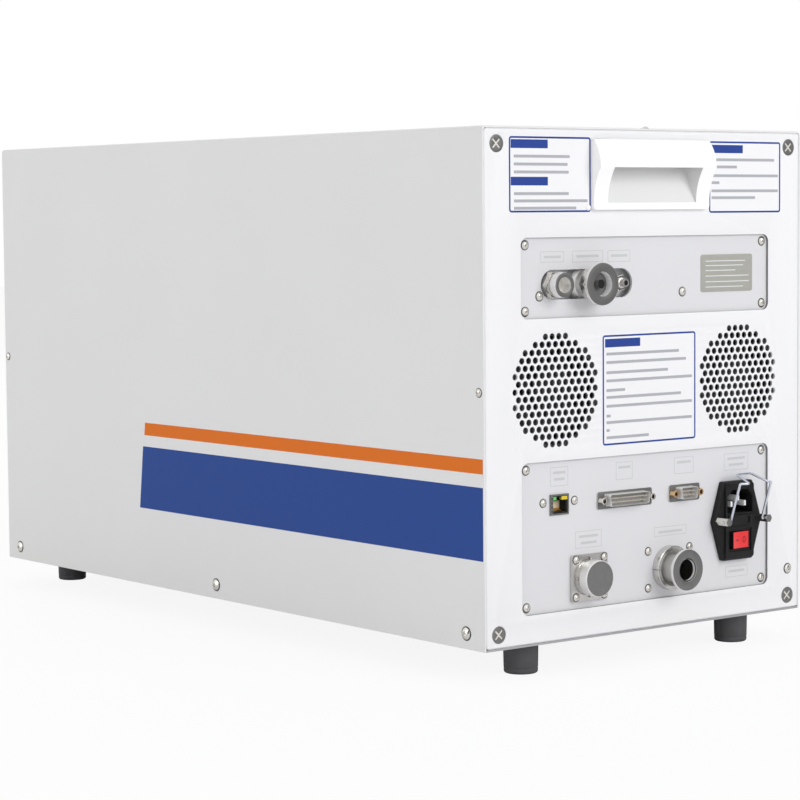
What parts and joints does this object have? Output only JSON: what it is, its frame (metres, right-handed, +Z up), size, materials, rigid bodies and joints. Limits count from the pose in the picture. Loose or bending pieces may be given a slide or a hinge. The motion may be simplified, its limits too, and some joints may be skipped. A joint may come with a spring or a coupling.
{
  "type": "bench mass spectrometer",
  "caption": "Bench mass spectrometer: folded case on rubber feet, connector panel with gas ports, fan grilles, finger handles, mains inlet with switch, and analyser inside.",
  "frame": {"origin": "on the surface the feet stand on, under the middle of the whole object", "axes": "+Z up; the connector panel faces -Y; +X to the right when facing the connector panel"},
  "size_m": [0.3142, 0.6952, 0.3837],
  "materials": {
    "case_grey": "fine matt powder coat",
    "panel_white": "fine matt powder coat",
    "plate_grey": "fine textured coat",
    "zinc_steel": "bright zinc",
    "screw_chrome": "nickel plated",
    "screw_dark": "darkened steel",
    "handle_white": "smooth moulded",
    "rubber": "matt",
    "stainless": "turned",
    "aluminium": "milled",
    "connector_metal": "nickel plated",
    "brass": "bright",
    "black_plastic": "moulded",
    "red_plastic": "translucent red",
    "lamp": "clear light pipes",
    "gold": "gold plated",
    "fan_plastic": "moulded",
    "ceramic": "white ceramic",
    "fuse_glass": "glass tube",
    "board_green": "solder mask"
  },
  "bodies": {
    "instrument": {"wrap_cover": "case_grey", "base_tray": "zinc_steel", "connector_panel": "panel_white", "intake_panel": "panel_white", "corner_rails": "aluminium", "connector_end_handle": "handle_white", "intake_end_handle": "handle_white", "rubber_feet": "rubber", "foot_screws": "zinc_steel", "cover_screws": "screw_chrome", "corner_screws": "screw_dark", "earth_screw": "screw_chrome", "upper_port_plate": "plate_grey", "lower_connector_plate": "plate_grey", "backing_bars": "zinc_steel", "plate_screws": "screw_chrome", "valve_manifold": "aluminium", "gas_inlet_fitting": "stainless", "sample_port": "stainless", "capillary_fitting": "stainless", "capillary_nut": "stainless", "lan_shell": "connector_metal", "lan_insert": "black_plastic", "lan_lamps": "lamp", "lan_contacts": "gold", "dsub_shells": "connector_metal", "dsub_inserts": "black_plastic", "dsub_pins": "gold", "jackscrews": "brass", "inlet_body": "black_plastic", "inlet_blades": "connector_metal", "bail_posts": "zinc_steel", "pump_socket": "connector_metal", "pump_socket_pins": "gold", "foreline_port": "stainless", "split_collar": "stainless", "fan_frames": "fan_plastic", "inlet_tube": "stainless", "vacuum_chamber": "stainless", "pump_housing": "aluminium", "pump_stand": "zinc_steel", "foreline_tube": "stainless", "quadrupole_rods": "stainless", "rod_holders": "ceramic", "ion_source": "stainless", "ion_detector": "stainless", "rf_box": "aluminium", "power_supply": "zinc_steel", "board_pillars": "brass", "control_board": "board_green"},
    "rocker": {"rocker": "red_plastic"},
    "fuse_drawer": {"fuse_drawer": "black_plastic", "drawer_fuse": "fuse_glass"},
    "wire_bail": {"wire_bail": "zinc_steel"},
    "dust_cap": {"dust_cap": "connector_metal"},
    "fan_rotor_left": {"fan_rotor_left": "fan_plastic"},
    "fan_rotor_right": {"fan_rotor_right": "fan_plastic"},
    "pump_rotor": {"pump_rotor": "aluminium"}
  },
  "joints": [
    {"name": "mains_switch", "type": "hinge", "parent": "instrument", "child": "rocker", "pos_m": [0.0872, -0.32238, 0.0801], "axis": [0, 0, 1], "range_deg": [-10, 0]},
    {"name": "fuse_drawer_slide", "type": "slide", "parent": "instrument", "child": "fuse_drawer", "axis": [0, -1, 0], "range_m": [0, 0.02]},
    {"name": "bail_swing", "type": "hinge", "parent": "instrument", "child": "wire_bail", "pos_m": [0.0872, -0.33437, 0.0954], "axis": [1, 0, 0], "range_deg": [-8, 100]},
    {"name": "dust_cap_pull", "type": "slide", "parent": "instrument", "child": "dust_cap", "axis": [0, -1, 0], "range_m": [0, 0.025]},
    {"name": "left_fan_spin", "type": "hinge", "parent": "instrument", "child": "fan_rotor_left", "pos_m": [-0.0896, -0.30838, 0.1994], "axis": [0, 1, 0], "continuous": true},
    {"name": "right_fan_spin", "type": "hinge", "parent": "instrument", "child": "fan_rotor_right", "pos_m": [0.0896, -0.30838, 0.1994], "axis": [0, 1, 0], "continuous": true},
    {"name": "pump_rotor_spin", "type": "hinge", "parent": "instrument", "child": "pump_rotor", "pos_m": [-0.0578, -0.02337, 0.13], "axis": [0, 0, 1], "continuous": true}
  ]
}
